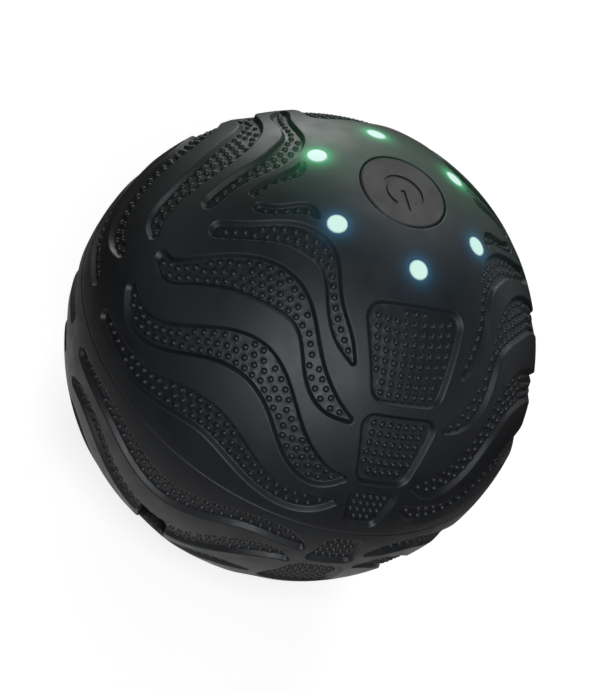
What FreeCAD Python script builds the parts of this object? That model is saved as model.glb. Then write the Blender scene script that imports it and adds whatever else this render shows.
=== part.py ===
import FreeCAD, Part
import math
import os

# Rechargeable vibrating massage ball. Millimetres and degrees.
# The origin is the centre of the ball, +Z runs through the power button and -Y is the charging side.
# Inside, the motor and the cell both lie along X. All solids are drawn where they sit at rest.

V = FreeCAD.Vector
ORIGIN = V(0, 0, 0)
X_AXIS = V(1, 0, 0)
Z_AXIS = V(0, 0, 1)

# ---- outer skins and shells ----
BALL_R = 47.5            # outer radius of the ball
SKIN_T = 3.0             # silicone skin
SHELL_T = 3.0            # rigid half shell under it
SEAM_CHAMFER = 0.3       # edge break on each skin along the parting line
TREAD_DEPTH = 1.0        # depth of the tread pockets
PAD_AZIMUTH = -45.0      # meridian of the column of three pads
LIP_T = 1.05             # tongue on the lower shell that centres the upper one
LIP_H = 1.8
LIP_CLEARANCE = 0.05
GASKET_W = 0.9           # square section of the seam gasket
GASKET_INSET = 0.5       # from the outside of the shell to the gasket
SHELL_SCREW_INSET = 4.2  # from the inside of the shell to the screws
SHELL_SCREW_COUNT = 4
SHELL_SCREW_AZIMUTH = 45.0
SHELL_BOSS_R = 3.8
SHELL_BOSS_H = 13.0      # height of the upper boss above the seam
SHELL_SCREW_R = 1.3
SHELL_SCREW_SEAT = 6.0   # from the seam down to the seat of the head
SHELL_SCREW_BITE = 9.0   # from the seam up to the tip
SHELL_SCREW_HEAD_R = 2.3
SHELL_SCREW_HEAD_H = 1.8
SCREW_BORE_CLEARANCE = 0.2
HEAD_ROUND = 1 / 3       # corner radius of every pan head, as a share of its height

# ---- power button, switch and lights ----
BUTTON_R = 9.0
BUTTON_WALL = 1.6
BUTTON_GROOVE = 0.3      # gap between the button and the skin
BUTTON_FIT = 0.07        # running clearance in the shell
BUTTON_CHAMFER = 0.3
BUTTON_TRAVEL = 0.5
COLLAR_T = 3.0           # guide collar inside the shell
COLLAR_H = 3.7           # from the outside of the shell at the hole to the collar's lower face
FLANGE_OUT = 1.6
FLANGE_T = 1.2
FLANGE_GAP = 0.05
KEY_W = 1.6              # the two keys that stop the button from turning
KEY_OUT = 0.8
KEY_H = 3.2
KEY_CLEARANCE = 0.15
STEM_R = 2.0
RIB_T = 0.9
RIB_H = 3.5
SWITCH_W = 6.0
SWITCH_H = 3.5
PLUNGER_R = 1.7
PLUNGER_OUT = 1.5        # plunger above the switch body
PLUNGER_IN = 1.2         # plunger inside the switch body
PLUNGER_FIT = 0.05
LIGHT_COUNT = 6
LIGHT_TILT = 22.0        # angle of each light from the pole
LIGHT_R = 2.0
LIGHT_RING_W = 4.4
LIGHT_RING_T = 1.5
LIGHT_RING_ABOVE = 6.2   # from the board to the ring
LED_L = 3.5
LED_W = 2.8
LED_H = 1.1
LED_GAP = 0.3

# ---- control board ----
BOARD_T = 1.6
BOARD_DROP = 10.88       # from the button's collar down to the board
BOARD_EDGE_W = 4.0       # from the screws to the edge
BOARD_BOSS_GAP = 0.5     # between the light guide and the bosses
BOARD_SCREW_COUNT = 3
BOARD_SCREW_AZIMUTH = 45.0
BOARD_BOSS_R = 2.75
BOARD_SCREW_R = 1.0
BOARD_SCREW_HEAD_R = 1.9
BOARD_SCREW_HEAD_H = 1.3
BOARD_SCREW_BITE = 4.5
CHIP_W = 7.0
CHIP_H = 1.5
CHIP_Y = -10.0
SOCKET_L = 7.5
SOCKET_W = 4.5
SOCKET_H = 3.8
SOCKET_X = 7.0
SOCKET_Y = 17.5
SOCKET_WALL = 0.7

# ---- battery cell ----
CELL_R = 9.2
CELL_END_GAP = 1.2       # from the end of the cell's lowest line to the shell
CELL_NUB_R = 2.8
CELL_NUB_H = 0.8
CELL_EDGE = 0.8
TAB_W = 6.0
TAB_T = 0.2
TAB_UP = 11.0            # how far the strip reaches above the axis
RIB_X = 20.0             # place of the two cell ribs in the lower shell
CRADLE_T = 2.2
CRADLE_W = 24.0
SEAT_GAP = 0.05
PAD_T = 0.6
PAD_L = 7.0
PAD_W = 10.0
PAD_X = 10.0

# ---- chassis and motor clamp ----
CHASSIS_T = 1.8
CHASSIS_L = 32.0
CHASSIS_EAR_R = 4.5
NOTCH_W = 11.0           # notch in the chassis that clears the charging board
NOTCH_L = 8.0
POST_X = 12.5
POST_R = 3.2
POST_HEAD_GAP = 1.1      # from the saddles to the heads of the chassis screws
POST_SCREW_R = 1.3
POST_SCREW_BITE = 7.0
POST_SCREW_HEAD_R = 2.4
POST_SCREW_HEAD_H = 1.7
SADDLE_X = 9.0
SADDLE_T = 5.0
CLAMP_T = 2.0
CLAMP_EAR_T = 2.4
CLAMP_BRIDGE_W = 7.0
CLAMP_HEAD_GAP = 0.1
CLAMP_EDGE_W = 2.6       # from the clamp screws to the edge
CLAMP_BOARD_GAP = 2.0
CLAMP_SCREW_BITE = 6.0

# ---- motor ----
MOTOR_R = 12.2
MOTOR_CAN_L = 27.0
MOTOR_CAP_L = 3.8
MOTOR_CAN_T = 0.8
MOTOR_EDGE = 1.2
MOTOR_NOSE_R = 3.6
MOTOR_NOSE_H = 1.5
DAMPER_T = 1.2
BUSHING_R = 2.6
BUSHING_L = 3.4
SHAFT_R = 1.15
SHAFT_FIT = 0.05
SHAFT_OUT = 10.6         # shaft beyond each end of the motor
MAGNET_T = 1.9
MAGNET_L = 20.0
MAGNET_ARC = 130.0
CORE_AIR_GAP = 0.5
CORE_L = 16.0
CORE_HUB_R = 3.2
POLE_W = 3.0
POLE_SHOE_T = 1.3
POLE_ARC = 96.0
POLE_COUNT = 3
COIL_T = 1.7
COIL_GAP = 0.1
COMMUTATOR_R = 2.9
COMMUTATOR_L = 4.2
COMMUTATOR_GAP = 0.3     # from the commutator to the bushing behind it
BRUSH_W = 2.2
BRUSH_L = 2.6
BRUSH_GAP = 0.05
BRUSH_ARM_T = 0.4
TERMINAL_Y = 8.5
TERMINAL_W = 2.2
TERMINAL_T = 0.5
TERMINAL_OUT = 1.7
WEIGHT_R = 11.0
WEIGHT_L = 6.6
WEIGHT_ARC = 170.0
WEIGHT_HUB_R = 3.4
WEIGHT_GAP = 3.2         # from the motor's end face to the weight

# ---- charging port ----
PORT_TILT = 37.0         # how far the port points below the horizon
PORT_W = 6.9
PORT_H = 12.8
PORT_CORNER = 2.2
PORT_DEPTH = 7.0
PORT_FLOOR_T = 1.4
PORT_WALL = 1.5
USB_W = 8.94
USB_H = 3.26
USB_L = 7.35
USB_WALL = 0.35
USB_END_FLAT = 0.1       # straight part of the receptacle's rounded ends
USB_TONGUE_W = 6.7
USB_TONGUE_T = 0.7
USB_TONGUE_INSET = 1.0
USB_BACK_T = 1.6
CHARGE_BOARD_W = 14.6
CHARGE_BOARD_L = 17.0
CHARGE_BOARD_T = 1.0
CHARGE_BOARD_SETBACK = 0.4
BRACKET_T = 2.0
CHARGE_SCREW_R = 0.8
CHARGE_SCREW_HEAD_R = 1.5
CHARGE_SCREW_HEAD_H = 0.9
CHARGE_SCREW_EDGE = 2.3
CHARGE_CHIP_W = 4.0
CHARGE_CHIP_H = 1.2
CHARGE_COIL_W = 3.6
CHARGE_COIL_H = 2.2
CHARGE_PARTS_Y = 2.8     # from the charging board's middle to each of its parts

# ---- tread ----
# One sector runs from the pads' meridian (0) to the valley between two sectors (90). It is mirrored
# about both, and about the seam. Each station is (angle from the pads, latitude, half-width),
# and the two edges are smooth curves through the stations' edges, closed by round ends.
CHANNELS = {
    "crest": [(70.2, 65.1, 0.7), (75.2, 64.5, 1.4), (79.3, 61.6, 1.4), (82.2, 57.3, 1.15),
              (85.8, 54.0, 1.2)],
    "high": [(20.6, 42.9, 0.8), (25, 46.0, 1.7), (34, 52.2, 1.65), (43, 58.2, 1.75), (51, 60.5, 2.6),
             (60, 60.2, 3.1), (68, 58.0, 2.8), (76.5, 51.3, 2.1), (84, 43.4, 1.9)],
    "upper": [(15.2, 30.1, 0.9), (21, 31.6, 2.0), (30, 37.6, 2.2), (40, 45.4, 2.25), (48, 47.4, 3.7),
              (58, 46.5, 4.5), (68, 41.8, 3.9), (77, 32.7, 2.9), (81.5, 28.7, 2.4), (85.6, 28.1, 1.4)],
    "middle": [(10.4, 15.6, 1.1), (14.5, 14.8, 2.5), (21, 16.9, 3.2), (33, 26.6, 3.2), (45, 31.3, 4.2),
               (57, 27.3, 3.4), (69, 18.4, 2.95), (77, 15.9, 2.5), (83.8, 17.5, 1.3)],
    "lower": [(9.4, 8.6, 1.0), (13, 7.0, 2.0), (23, 6.1, 2.3), (35, 10.3, 2.9), (45, 13.1, 3.5),
              (55, 11.2, 3.3), (65, 7.9, 2.6), (75, 6.8, 2.0), (83.9, 6.8, 1.4)],
}
# Each pad is (lower latitude, upper latitude, lower half-width, upper half-width, corner radius).
PADS = {
    "top": (36.5, 59.3, 8.6, 13.2, 3.4),
    "mid": (16.2, 33.0, 6.3, 9.9, 2.6),
    "low": (3.2, 13.0, 3.9, 6.2, 1.4),
}
CUTTER_INNER = 0.6       # where the pocket cutters start and end, as shares of the ball's radius
CUTTER_OUTER = 1.06
SAME = 0.01              # edges nearer than this to a height lie at it

# ---- values that follow from the sizes above ----
SHELL_R = BALL_R - SKIN_T
CAVITY_R = SHELL_R - SHELL_T
BUTTON_TOP = math.sqrt(BALL_R ** 2 - BUTTON_R ** 2)
COLLAR_BOTTOM = math.sqrt(SHELL_R ** 2 - BUTTON_R ** 2) - COLLAR_H
FLANGE_TOP = COLLAR_BOTTOM - FLANGE_GAP
FLANGE_BOTTOM = FLANGE_TOP - FLANGE_T
FLANGE_R = BUTTON_R + FLANGE_OUT
COLLAR_R = BUTTON_R + COLLAR_T
BOARD_TOP = COLLAR_BOTTOM - BOARD_DROP
SWITCH_TOP = BOARD_TOP + SWITCH_H
PLUNGER_TOP = SWITCH_TOP + PLUNGER_OUT
BOARD_BOTTOM = BOARD_TOP - BOARD_T
LED_TOP = BOARD_TOP + LED_H
LIGHT_RING_BOTTOM = BOARD_TOP + LIGHT_RING_ABOVE
LIGHT_RING_R = (LIGHT_RING_BOTTOM + LIGHT_RING_T / 2) * math.tan(math.radians(LIGHT_TILT))
BOARD_SCREW_CIRCLE_R = LIGHT_RING_R + LIGHT_RING_W / 2 + BOARD_BOSS_GAP + BOARD_BOSS_R
BOARD_R = BOARD_SCREW_CIRCLE_R + BOARD_EDGE_W
DAMPER_R = MOTOR_R + DAMPER_T
MOTOR_Z = BOARD_BOTTOM - CLAMP_BOARD_GAP - CLAMP_T - DAMPER_R
CHASSIS_TOP = MOTOR_Z - DAMPER_R
CHASSIS_BOTTOM = CHASSIS_TOP - CHASSIS_T
CLAMP_SCREW_Y = DAMPER_R + CLAMP_T + POST_SCREW_HEAD_R + CLAMP_HEAD_GAP
CHASSIS_W = 2 * (CLAMP_SCREW_Y + CLAMP_EDGE_W)
POST_Y = CHASSIS_W / 2 + POST_HEAD_GAP + POST_SCREW_HEAD_R
CELL_Z = CHASSIS_BOTTOM - PAD_T - CELL_R
CELL_L = 2 * (math.sqrt(CAVITY_R ** 2 - (CELL_R - CELL_Z) ** 2) - CELL_END_GAP)
SHELL_SCREW_CIRCLE_R = CAVITY_R - SHELL_SCREW_INSET
MOTOR_END = (MOTOR_CAN_L + MOTOR_CAP_L) / 2
MOTOR_JOINT = MOTOR_END - MOTOR_CAP_L
MAGNET_R = MOTOR_R - MOTOR_CAN_T
CORE_R = MAGNET_R - MAGNET_T - CORE_AIR_GAP
COMMUTATOR_END = MOTOR_END + MOTOR_NOSE_H - BUSHING_L - COMMUTATOR_GAP
PORT_FLOOR = BALL_R - PORT_DEPTH
USB_CORNER = (USB_H - USB_END_FLAT) / 2
PORT_BACK = PORT_FLOOR - PORT_FLOOR_T
BOARD_EDGE = PORT_BACK - CHARGE_BOARD_SETBACK
PORT_FRAME = FreeCAD.Placement(ORIGIN, FreeCAD.Rotation(X_AXIS, 90 + PORT_TILT))


def save(name, *shapes):
    shape = shapes[0] if len(shapes) == 1 else Part.makeCompound(list(shapes))
    shape.exportStep("parts/" + name + ".step")


def direction(azimuth, latitude):
    a, b = math.radians(azimuth), math.radians(latitude)
    return V(math.cos(b) * math.cos(a), math.cos(b) * math.sin(a), math.sin(b))


def around(radius, azimuth, z=0.0):
    return V(radius * math.cos(math.radians(azimuth)), radius * math.sin(math.radians(azimuth)), z)


def block(x, y, z):
    """Box between three (low, high) pairs."""
    return Part.makeBox(x[1] - x[0], y[1] - y[0], z[1] - z[0], V(x[0], y[0], z[0]))


def span(centre, size):
    return (centre - size / 2, centre + size / 2)


def post(radius, point, bottom, top):
    return Part.makeCylinder(radius, top - bottom, V(point.x, point.y, bottom))


def bar(radius, x, z=None):
    """Cylinder along X on the motor's axis, or at another height."""
    return Part.makeCylinder(radius, x[1] - x[0], V(x[0], 0, MOTOR_Z if z is None else z), X_AXIS)


def tube(outer, inner, x):
    return bar(outer, x).cut(bar(inner, x))


def rounded(points, radius):
    """Closed wire through plane points, with every corner rounded to the same radius."""
    arcs = []
    for i, corner in enumerate(points):
        back = (points[i - 1] - corner).normalize()
        ahead = (points[(i + 1) % len(points)] - corner).normalize()
        half = back.getAngle(ahead) / 2
        middle = (back + ahead).normalize()
        centre = corner + middle * (radius / math.sin(half))
        reach = radius / math.tan(half)
        arcs.append((corner + back * reach, centre - middle * radius, corner + ahead * reach))
    edges = []
    for i, arc in enumerate(arcs):
        edges.append(Part.Arc(*arc).toShape())
        edges.append(Part.LineSegment(arc[2], arcs[(i + 1) % len(arcs)][0]).toShape())
    return Part.Wire(edges)


def rounded_prism(width, height, corner, bottom, top):
    """Upright prism on a rounded rectangle about the local Z axis."""
    w, h = width / 2, height / 2
    wire = rounded([V(-w, -h, bottom), V(w, -h, bottom), V(w, h, bottom), V(-w, h, bottom)], corner)
    return Part.Face(wire).extrude(V(0, 0, top - bottom))


def half_layer(outer, inner, chamfer=0.0):
    """Upper half of a spherical layer, with an optional chamfer on the outer rim edge."""
    foot = V(math.sqrt(outer ** 2 - chamfer ** 2), 0, chamfer)
    slant = math.radians(45)
    edges = [
        Part.Arc(foot, V(outer * math.cos(slant), 0, outer * math.sin(slant)), V(0, 0, outer)).toShape(),
        Part.LineSegment(V(0, 0, outer), V(0, 0, inner)).toShape(),
        Part.Arc(V(0, 0, inner), V(inner * math.cos(slant), 0, inner * math.sin(slant)),
                 V(inner, 0, 0)).toShape(),
        Part.LineSegment(V(inner, 0, 0), V(outer - chamfer, 0, 0)).toShape(),
    ]
    if chamfer:
        edges.append(Part.LineSegment(V(outer - chamfer, 0, 0), foot).toShape())
    return Part.Face(Part.Wire(Part.sortEdges(edges)[0])).revolve(ORIGIN, Z_AXIS, 360)


def flipped(shape):
    return shape.mirror(ORIGIN, Z_AXIS)


def ring(outer, inner, bottom, top):
    return post(outer, ORIGIN, bottom, top).cut(post(inner, ORIGIN, bottom, top))


def screw(radius, head_radius, head_height, seat, tip, point):
    """Pan-head screw along Z: the head lies on the far side of the seat from the tip."""
    way = 1 if tip > seat else -1
    shank = post(radius, point, min(seat, tip), max(seat, tip))
    far = seat - way * head_height
    head = post(head_radius, point, min(seat, far), max(seat, far))
    edge = [e for e in head.Edges if len(e.Vertexes) == 1 and abs(e.Vertexes[0].Z - far) < SAME]
    return head.makeFillet(head_height * HEAD_ROUND, edge).fuse(shank)


def four(x, y):
    return [V(sx * x, sy * y, 0) for sx in (-1, 1) for sy in (-1, 1)]


def pocket(outline):
    """Cutter with walls that point at the ball's centre, from a wire on a plane at unit distance."""
    inner, outer = outline.copy(), outline.copy()
    inner.scale(BALL_R * CUTTER_INNER, ORIGIN)
    outer.scale(BALL_R * CUTTER_OUTER, ORIGIN)
    return Part.makeLoft([inner, outer], True, True)


def channel_outline(stations):
    """Outline of one channel, projected from the centre on a plane at unit distance."""
    spine = [direction(a, lat) for a, lat, half in stations]
    curve = Part.BSplineCurve()
    curve.interpolate(spine)
    normal = V(0, 0, 0)
    for point in spine:
        normal += point
    normal.normalize()

    def flat(vector):
        return vector * (1 / vector.dot(normal))

    left, right, tips = [], [], []
    for i, point in enumerate(spine):
        half = math.radians(stations[i][2])
        along = V(*curve.tangent(curve.parameter(point))[0])
        side = point.cross(along).normalize()
        left.append(flat(point * math.cos(half) + side * math.sin(half)))
        right.append(flat(point * math.cos(half) - side * math.sin(half)))
        tips.append((point, along, half))
    start, start_way, start_half = tips[0]
    end, end_way, end_half = tips[-1]
    first = flat(start * math.cos(start_half) - start_way * math.sin(start_half))
    last = flat(end * math.cos(end_half) + end_way * math.sin(end_half))
    right.reverse()
    sides = []
    for points in (left, right):
        edge = Part.BSplineCurve()
        edge.interpolate(points)
        sides.append(edge.toShape())
    return Part.Wire([
        sides[0], Part.Arc(left[-1], last, right[0]).toShape(),
        sides[1], Part.Arc(right[-1], first, left[0]).toShape(),
    ])


def pad_outline(low, high, low_half, high_half, corner):
    """Rounded trapezoid across the pads' meridian, on a plane at unit distance."""
    middle = (low + high) / 2
    normal, east = direction(0, middle), V(0, 1, 0)
    north = normal.cross(east)

    def place(x, y):
        return normal + east * math.tan(math.radians(x)) + north * math.tan(math.radians(y))

    drop = low - middle
    corners = [place(-low_half, drop), place(low_half, drop), place(high_half, -drop),
               place(-high_half, -drop)]
    return rounded(corners, math.radians(corner))


def tread_pockets():
    """All pockets of the upper half: channels four times, pads twice."""
    layer = half_layer(BALL_R * CUTTER_OUTER, BALL_R - TREAD_DEPTH)
    sector = [pocket(channel_outline(stations)).common(layer) for stations in CHANNELS.values()]
    sector += [shape.mirror(ORIGIN, V(0, 1, 0)) for shape in sector]
    sector += [pocket(pad_outline(*pad)).common(layer) for pad in PADS.values()]
    pockets = []
    for turn in (0, 180):
        for shape in sector:
            copy = shape.copy()
            copy.rotate(ORIGIN, Z_AXIS, PAD_AZIMUTH + turn)
            pockets.append(copy)
    return pockets


def light_posts(radius, bottom, top):
    """Cylinders that point at the ball's centre, one for each light."""
    posts = []
    for i in range(LIGHT_COUNT):
        way = direction(PAD_AZIMUTH + i * 360 / LIGHT_COUNT, 90 - LIGHT_TILT)
        posts.append(Part.makeCylinder(radius, top - bottom, way * bottom, way))
    return posts


def port_shape(shape):
    shape.Placement = PORT_FRAME.multiply(shape.Placement)
    return shape


def port_hollow(grow=0.0, bottom=PORT_FLOOR):
    return port_shape(rounded_prism(PORT_W + 2 * grow, PORT_H + 2 * grow, PORT_CORNER + grow,
                                    bottom, BALL_R * CUTTER_OUTER))


def seam_grooves():
    middle = SHELL_R - GASKET_INSET - GASKET_W / 2
    return ring(middle + GASKET_W / 2, middle - GASKET_W / 2, -GASKET_W / 2, GASKET_W / 2)


def shell_screw_points():
    return [around(SHELL_SCREW_CIRCLE_R, SHELL_SCREW_AZIMUTH + i * 360 / SHELL_SCREW_COUNT)
            for i in range(SHELL_SCREW_COUNT)]


def board_screw_points():
    return [around(BOARD_SCREW_CIRCLE_R, BOARD_SCREW_AZIMUTH + i * 360 / BOARD_SCREW_COUNT)
            for i in range(BOARD_SCREW_COUNT)]


def button_keys(clearance, top):
    width, reach = KEY_W + 2 * clearance, BUTTON_R + KEY_OUT + clearance
    bar_shape = block(span(0, 2 * reach), span(0, width), (FLANGE_BOTTOM, top))
    return bar_shape.common(post(reach, ORIGIN, FLANGE_BOTTOM, top))


def build_skins():
    pockets = tread_pockets()
    blank = half_layer(BALL_R, SHELL_R, SEAM_CHAMFER)
    lower = flipped(blank).cut([flipped(shape) for shape in pockets])
    holes = light_posts(LIGHT_R, CAVITY_R, BALL_R + SKIN_T)
    holes.append(post(BUTTON_R + BUTTON_GROOVE, ORIGIN, 0, BALL_R))
    save("upper_skin", blank.cut(holes + pockets))
    save("lower_skin", lower.cut(port_hollow()))


def build_upper_shell():
    inside = Part.makeSphere(CAVITY_R + SHELL_T / 2)
    bosses = [post(SHELL_BOSS_R, p, 0, SHELL_BOSS_H) for p in shell_screw_points()]
    bosses += [post(BOARD_BOSS_R, p, BOARD_TOP, CAVITY_R) for p in board_screw_points()]
    bosses.append(post(COLLAR_R, ORIGIN, COLLAR_BOTTOM, CAVITY_R))
    shell = half_layer(SHELL_R, CAVITY_R).fuse([boss.common(inside) for boss in bosses])
    cuts = [post(SHELL_SCREW_R, p, -LIP_H, SHELL_SCREW_BITE) for p in shell_screw_points()]
    cuts += [post(BOARD_SCREW_R, p, 0, BOARD_TOP + BOARD_SCREW_BITE) for p in board_screw_points()]
    cuts += light_posts(LIGHT_R + BUTTON_FIT, CAVITY_R - SHELL_T, BALL_R)
    cuts.append(post(BUTTON_R + BUTTON_FIT, ORIGIN, FLANGE_BOTTOM, BALL_R))
    cuts.append(button_keys(KEY_CLEARANCE, FLANGE_TOP + KEY_H + KEY_CLEARANCE))
    cuts.append(ring(CAVITY_R + LIP_T + LIP_CLEARANCE, CAVITY_R - LIP_T, -LIP_H, LIP_H + LIP_CLEARANCE))
    cuts.append(seam_grooves())
    save("upper_shell", shell.cut(cuts))


def build_lower_shell():
    inside = Part.makeSphere(CAVITY_R + SHELL_T / 2)
    parts = [post(SHELL_BOSS_R, p, -BALL_R, 0) for p in shell_screw_points()]
    parts += [post(POST_R, p, -BALL_R, CHASSIS_BOTTOM) for p in four(POST_X, POST_Y)]
    for side in (-1, 1):
        rib = block(span(side * RIB_X, CRADLE_T), span(0, CRADLE_W), (-BALL_R, CELL_Z))
        parts.append(rib.cut(bar(CELL_R + SEAT_GAP, span(0, CELL_L), CELL_Z)))
    shell = flipped(half_layer(SHELL_R, CAVITY_R)).fuse([part.common(inside) for part in parts])
    shell = shell.fuse(ring(CAVITY_R + LIP_T, CAVITY_R, -LIP_H, LIP_H))
    cuts = [post(SHELL_SCREW_R + SCREW_BORE_CLEARANCE, p, -BALL_R, LIP_H) for p in shell_screw_points()]
    cuts += [post(SHELL_SCREW_HEAD_R + SCREW_BORE_CLEARANCE, p, -BALL_R, -SHELL_SCREW_SEAT)
             for p in shell_screw_points()]
    cuts += [post(POST_SCREW_R, p, CHASSIS_BOTTOM - POST_SCREW_BITE, CHASSIS_TOP)
             for p in four(POST_X, POST_Y)]
    cuts.append(port_hollow(PORT_WALL, CAVITY_R - SHELL_T))
    cuts.append(seam_grooves())
    save("lower_shell", shell.cut(cuts))


def build_seam():
    save("seam_gasket", seam_grooves())
    save("shell_screws", *[screw(SHELL_SCREW_R, SHELL_SCREW_HEAD_R, SHELL_SCREW_HEAD_H,
                                 -SHELL_SCREW_SEAT, SHELL_SCREW_BITE, p) for p in shell_screw_points()])


def build_button():
    cap = post(BUTTON_R, ORIGIN, FLANGE_BOTTOM, BUTTON_TOP)
    rim = [e for e in cap.Edges if len(e.Vertexes) == 1 and abs(e.Vertexes[0].Z - BUTTON_TOP) < SAME]
    cap = cap.makeChamfer(BUTTON_CHAMFER, rim)
    cap = cap.fuse([post(FLANGE_R, ORIGIN, FLANGE_BOTTOM, FLANGE_TOP),
                    button_keys(0, FLANGE_TOP + KEY_H)])
    inner_r, ceiling = BUTTON_R - BUTTON_WALL, BUTTON_TOP - BUTTON_WALL
    cap = cap.cut(post(inner_r, ORIGIN, FLANGE_BOTTOM, ceiling))
    ribs = [block(span(0, 2 * inner_r + RIB_T), span(0, RIB_T), (ceiling - RIB_H, ceiling)),
            block(span(0, RIB_T), span(0, 2 * inner_r + RIB_T), (ceiling - RIB_H, ceiling))]
    save("power_button", cap.fuse([post(STEM_R, ORIGIN, PLUNGER_TOP, ceiling + RIB_T)] + ribs))


def build_lights():
    guide = ring(LIGHT_RING_R + LIGHT_RING_W / 2, LIGHT_RING_R - LIGHT_RING_W / 2,
                 LIGHT_RING_BOTTOM, LIGHT_RING_BOTTOM + LIGHT_RING_T)
    guide = guide.fuse(light_posts(LIGHT_R, BOARD_TOP, BALL_R + SKIN_T))
    guide = guide.common(Part.makeSphere(BALL_R))
    save("light_guide", guide.cut(post(BALL_R, ORIGIN, 0, LED_TOP + LED_GAP)))
    leds = []
    reach = (BOARD_TOP + LED_H) * math.tan(math.radians(LIGHT_TILT))
    for i in range(LIGHT_COUNT):
        led = block(span(0, LED_L), span(0, LED_W), (BOARD_TOP, LED_TOP))
        led.translate(V(reach, 0, 0))
        led.rotate(ORIGIN, Z_AXIS, PAD_AZIMUTH + i * 360 / LIGHT_COUNT)
        leds.append(led)
    save("leds", *leds)


def build_board():
    board = post(BOARD_R, ORIGIN, BOARD_BOTTOM, BOARD_TOP)
    save("control_board", board.cut([post(BOARD_SCREW_R, p, 0, BOARD_TOP) for p in board_screw_points()]))
    save("board_screws", *[screw(BOARD_SCREW_R, BOARD_SCREW_HEAD_R, BOARD_SCREW_HEAD_H, BOARD_BOTTOM,
                                 BOARD_TOP + BOARD_SCREW_BITE, p) for p in board_screw_points()])
    body = block(span(0, SWITCH_W), span(0, SWITCH_W), (BOARD_TOP, SWITCH_TOP))
    well = SWITCH_TOP - PLUNGER_IN - BUTTON_TRAVEL - PLUNGER_FIT
    save("switch_body", body.cut(post(PLUNGER_R + PLUNGER_FIT, ORIGIN, well, SWITCH_TOP)))
    save("switch_plunger", post(PLUNGER_R, ORIGIN, SWITCH_TOP - PLUNGER_IN, PLUNGER_TOP))
    save("main_chip", block(span(0, CHIP_W), span(CHIP_Y, CHIP_W), (BOARD_BOTTOM - CHIP_H, BOARD_BOTTOM)))
    sockets = []
    for side in (-1, 1):
        floor = BOARD_BOTTOM - SOCKET_H
        socket = block(span(-SOCKET_X, SOCKET_L), span(side * SOCKET_Y, SOCKET_W), (floor, BOARD_BOTTOM))
        mouth = block(span(-SOCKET_X, SOCKET_L - 2 * SOCKET_WALL),
                      span(side * SOCKET_Y, SOCKET_W - 2 * SOCKET_WALL),
                      (floor, BOARD_BOTTOM - SOCKET_WALL))
        sockets.append(socket.cut(mouth))
    save("lead_sockets", *sockets)


def build_cell():
    cell = bar(CELL_R, span(0, CELL_L), CELL_Z)
    rims = [e for e in cell.Edges if len(e.Vertexes) == 1]
    end = CELL_L / 2
    nub = bar(CELL_NUB_R, (end, end + CELL_NUB_H), CELL_Z)
    save("battery_cell", cell.makeFillet(CELL_EDGE, rims).fuse(nub))
    height = (CELL_Z - CELL_NUB_R, CELL_Z + TAB_UP)
    save("battery_tabs",
         block((end + CELL_NUB_H, end + CELL_NUB_H + TAB_T), span(0, TAB_W), height),
         block((-end - TAB_T, -end), span(0, TAB_W), height))
    pads = []
    for side in (-1, 1):
        pad = block(span(side * PAD_X, PAD_L), span(0, PAD_W), (CELL_Z, CHASSIS_BOTTOM))
        pads.append(pad.cut(bar(CELL_R, span(0, CELL_L), CELL_Z)))
    save("battery_pads", *pads)


def build_chassis():
    plate = block(span(0, CHASSIS_L), span(0, CHASSIS_W), (CHASSIS_BOTTOM, CHASSIS_TOP))
    parts = [post(CHASSIS_EAR_R, p, CHASSIS_BOTTOM, CHASSIS_TOP) for p in four(POST_X, POST_Y)]
    for side in (-1, 1):
        parts.append(block(span(side * SADDLE_X, SADDLE_T), span(0, CHASSIS_W), (CHASSIS_TOP, MOTOR_Z)))
    notch = (-CHASSIS_W / 2, NOTCH_L - CHASSIS_W / 2)
    cuts = [bar(DAMPER_R, span(0, CHASSIS_L)),
            block(span(0, NOTCH_W), notch, (CHASSIS_BOTTOM, MOTOR_Z))]
    cuts += [post(POST_SCREW_R, p, CHASSIS_BOTTOM, CHASSIS_TOP) for p in four(POST_X, POST_Y)]
    cuts += [post(POST_SCREW_R, p, MOTOR_Z - CLAMP_SCREW_BITE, MOTOR_Z)
             for p in four(SADDLE_X, CLAMP_SCREW_Y)]
    save("chassis", plate.fuse(parts).cut(cuts))
    save("chassis_screws", *[screw(POST_SCREW_R, POST_SCREW_HEAD_R, POST_SCREW_HEAD_H, CHASSIS_TOP,
                                   CHASSIS_BOTTOM - POST_SCREW_BITE, p) for p in four(POST_X, POST_Y)])
    ear_top = MOTOR_Z + CLAMP_EAR_T
    arches = []
    for side in (-1, 1):
        x = span(side * SADDLE_X, SADDLE_T)
        arches.append(bar(DAMPER_R + CLAMP_T, x))
        arches.append(block(x, span(0, CHASSIS_W), (MOTOR_Z, ear_top)))
    bridge = block(span(0, 2 * SADDLE_X), span(0, CLAMP_BRIDGE_W), (MOTOR_Z, MOTOR_Z + DAMPER_R + CLAMP_T))
    arches.append(bridge.common(bar(DAMPER_R + CLAMP_T, span(0, CHASSIS_L))))
    clamp = arches[0].fuse(arches[1:]).cut(bar(DAMPER_R, span(0, CHASSIS_L)))
    clamp = clamp.common(block(span(0, CHASSIS_L), span(0, CHASSIS_W), (MOTOR_Z, BALL_R)))
    save("motor_clamp", clamp.cut([post(POST_SCREW_R, p, MOTOR_Z, ear_top)
                                   for p in four(SADDLE_X, CLAMP_SCREW_Y)]))
    save("clamp_screws", *[screw(POST_SCREW_R, POST_SCREW_HEAD_R, POST_SCREW_HEAD_H, ear_top,
                                 MOTOR_Z - CLAMP_SCREW_BITE, p) for p in four(SADDLE_X, CLAMP_SCREW_Y)])
    save("motor_dampers", *[tube(DAMPER_R, MOTOR_R, span(side * SADDLE_X, SADDLE_T)) for side in (-1, 1)])


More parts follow.
